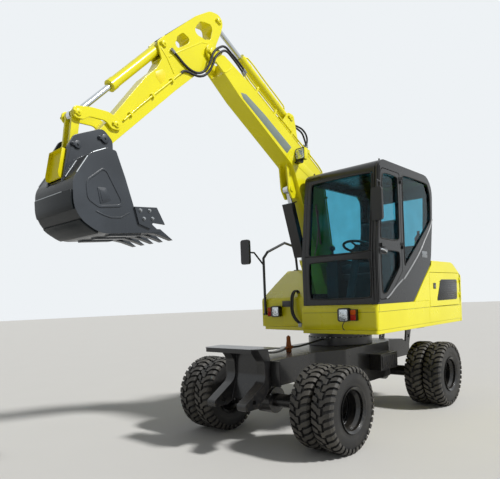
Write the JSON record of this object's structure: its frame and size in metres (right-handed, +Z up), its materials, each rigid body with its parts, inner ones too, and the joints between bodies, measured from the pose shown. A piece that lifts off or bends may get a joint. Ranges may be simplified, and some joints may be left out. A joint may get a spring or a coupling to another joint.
{
  "type": "wheeled excavator",
  "caption": "Six tonne wheeled excavator with a black cab, yellow bodywork, twin tyres and a raised backhoe bucket",
  "frame": {"origin": "on the ground under the centre of the swing bearing", "axes": "X forward, Y to the machine's left, Z up"},
  "size_m": [5.29, 2.0295, 4.2234],
  "materials": {
    "yellow_paint": "gloss",
    "black_paint": "gloss",
    "tyre_rubber": "matt",
    "rod_chrome": "polished",
    "bucket_paint": "satin",
    "cast_engine": "rough",
    "tinted_glass": "clear",
    "hose_rubber": "matt",
    "cab_plastic": "matt",
    "seat_cloth": "woven",
    "lamp_plastic": "gloss",
    "extinguisher_red": "gloss"
  },
  "bodies": {
    "chassis": {"chassis_frame": "black_paint", "front_cradle": "black_paint", "rear_step": "black_paint", "side_locker": "black_paint", "bearing_lower": "black_paint", "deck_hoses": "hose_rubber", "front_axle": "black_paint", "rear_axle": "black_paint", "drive_line": "black_paint"},
    "knuckle_left": {"knuckle_left": "black_paint"},
    "knuckle_right": {"knuckle_right": "black_paint"},
    "wheels_front_left": {"tyres_front_left": "tyre_rubber", "rims_front_left": "black_paint"},
    "wheels_front_right": {"tyres_front_right": "tyre_rubber", "rims_front_right": "black_paint"},
    "wheels_rear_left": {"tyres_rear_left": "tyre_rubber", "rims_rear_left": "black_paint"},
    "wheels_rear_right": {"tyres_rear_right": "tyre_rubber", "rims_rear_right": "black_paint"},
    "house": {"upper_frame": "yellow_paint", "bearing_upper": "black_paint", "cab_skirt": "yellow_paint", "tank_body": "yellow_paint", "house_hoses": "hose_rubber", "counterweight": "yellow_paint", "engine_cover": "yellow_paint", "engine": "cast_engine", "cab_left_wall": "black_paint", "cab_right_wall": "black_paint", "cab_shell": "black_paint", "cab_panes": "tinted_glass", "seat_base": "cab_plastic", "seat_cushions": "seat_cloth", "consoles": "cab_plastic", "fire_extinguisher": "extinguisher_red", "mirror_rail": "black_paint", "left_mirror": "black_paint", "headlamps": "lamp_plastic"},
    "engine_hood": {"engine_hood": "yellow_paint"},
    "side_door": {"side_door": "yellow_paint"},
    "cab_door": {"cab_door": "black_paint", "door_panes": "tinted_glass"},
    "boom": {"boom": "yellow_paint", "boom_lines": "yellow_paint", "boom_hoses": "hose_rubber", "arm_hoses": "hose_rubber", "boom_lamp": "lamp_plastic"},
    "lift_barrel": {"lift_barrel": "yellow_paint"},
    "lift_rod": {"lift_rod": "rod_chrome"},
    "stick_barrel": {"stick_barrel": "yellow_paint"},
    "stick_rod": {"stick_rod": "rod_chrome"},
    "stick": {"stick": "yellow_paint", "stick_lines": "yellow_paint"},
    "bucket_barrel": {"bucket_barrel": "yellow_paint"},
    "bucket_rod": {"bucket_rod": "rod_chrome"},
    "idler_links": {"idler_links": "yellow_paint"},
    "push_link": {"push_link": "yellow_paint"},
    "bucket": {"bucket": "bucket_paint", "bucket_guard": "yellow_paint"}
  },
  "joints": [
    {"name": "swing", "type": "hinge", "parent": "chassis", "child": "house", "pos_m": [0, 0, 0.956], "axis": [0, 0, 1], "continuous": true},
    {"name": "steer_left", "type": "hinge", "parent": "chassis", "child": "knuckle_left", "pos_m": [1.4, 0.505, 0.405], "axis": [0, 0, 1], "range_deg": [-28, 28]},
    {"name": "steer_right", "type": "hinge", "parent": "chassis", "child": "knuckle_right", "pos_m": [1.4, -0.505, 0.405], "axis": [0, 0, 1], "range_deg": [-28, 28]},
    {"name": "spin_front_left", "type": "hinge", "parent": "knuckle_left", "child": "wheels_front_left", "pos_m": [1.4, 0.765, 0.405], "axis": [0, 1, 0], "continuous": true},
    {"name": "spin_front_right", "type": "hinge", "parent": "knuckle_right", "child": "wheels_front_right", "pos_m": [1.4, -0.765, 0.405], "axis": [0, 1, 0], "continuous": true},
    {"name": "spin_rear_left", "type": "hinge", "parent": "chassis", "child": "wheels_rear_left", "pos_m": [-1, 0.765, 0.405], "axis": [0, 1, 0], "continuous": true},
    {"name": "spin_rear_right", "type": "hinge", "parent": "chassis", "child": "wheels_rear_right", "pos_m": [-1, -0.765, 0.405], "axis": [0, 1, 0], "continuous": true},
    {"name": "cab_door_hinge", "type": "hinge", "parent": "house", "child": "cab_door", "pos_m": [0.205, 0.9645, 2.1], "axis": [0, 0, 1], "range_deg": [0, 150]},
    {"name": "side_door_hinge", "type": "hinge", "parent": "house", "child": "side_door", "pos_m": [-1.5, 0.9645, 1.48], "axis": [0, 0, 1], "range_deg": [0, 100]},
    {"name": "hood_hinge", "type": "hinge", "parent": "house", "child": "engine_hood", "pos_m": [-0.603, 0, 1.841], "axis": [0, 1, 0], "range_deg": [0, 50]},
    {"name": "boom_lift", "type": "hinge", "parent": "house", "child": "boom", "pos_m": [0.06, -0.13, 1.38], "axis": [0, 1, 0], "range_deg": [-8, 68]},
    {"name": "lift_barrel_pin", "type": "hinge", "parent": "house", "child": "lift_barrel", "pos_m": [0.295, -0.13, 1.19], "axis": [0, 1, 0], "range_deg": [-8.6, 69.8]},
    {"name": "lift_rod_slide", "type": "slide", "parent": "lift_barrel", "child": "lift_rod", "axis": [0.3134, 0, 0.9496], "range_m": [-0.342, 0.041]},
    {"name": "stick_swing", "type": "hinge", "parent": "boom", "child": "stick", "pos_m": [2, -0.13, 3.8], "axis": [0, -1, 0], "range_deg": [-45, 50], "deforming": ["arm_hoses"]},
    {"name": "stick_barrel_pin", "type": "hinge", "parent": "boom", "child": "stick_barrel", "pos_m": [0.76, -0.13, 3.5], "axis": [0, -1, 0], "range_deg": [-2.6, 2.9]},
    {"name": "stick_rod_slide", "type": "slide", "parent": "stick_barrel", "child": "stick_rod", "axis": [0.8603, 0, 0.5097], "range_m": [-0.3106, 0.2797]},
    {"name": "bucket_curl", "type": "hinge", "parent": "stick", "child": "bucket", "pos_m": [3.23, -0.13, 2.72], "axis": [0, -1, 0], "range_deg": [-45, 80]},
    {"name": "idler_turn", "type": "hinge", "parent": "stick", "child": "idler_links", "pos_m": [3.095, -0.13, 2.87], "axis": [0, -1, 0], "range_deg": [-31.2, 55.1]},
    {"name": "push_link_turn", "type": "hinge", "parent": "idler_links", "child": "push_link", "pos_m": [3.42, -0.13, 2.885], "axis": [0, -1, 0], "range_deg": [-32.2, 18.3]},
    {"name": "bucket_barrel_pin", "type": "hinge", "parent": "stick", "child": "bucket_barrel", "pos_m": [2.568, -0.13, 3.697], "axis": [0, -1, 0], "range_deg": [-5.3, 9.1]},
    {"name": "bucket_rod_slide", "type": "slide", "parent": "bucket_barrel", "child": "bucket_rod", "axis": [0.7239, 0, -0.6899], "range_m": [-0.2526, 0.1425]}
  ],
  "couplings": [
    {"joint": "steer_right", "follows": "steer_left", "ratio": 1},
    {"joint": "lift_barrel_pin", "follows": "boom_lift", "ratio": 1.0189},
    {"joint": "lift_rod_slide", "follows": "boom_lift", "m_per_rad": -0.28736},
    {"joint": "stick_barrel_pin", "follows": "stick_swing", "ratio": 0.05414},
    {"joint": "stick_rod_slide", "follows": "stick_swing", "m_per_rad": -0.35463},
    {"joint": "idler_turn", "follows": "bucket_curl", "ratio": 0.6821},
    {"joint": "push_link_turn", "follows": "bucket_curl", "ratio": -0.3961},
    {"joint": "bucket_barrel_pin", "follows": "bucket_curl", "ratio": 0.1077},
    {"joint": "bucket_rod_slide", "follows": "bucket_curl", "m_per_rad": -0.18021}
  ]
}
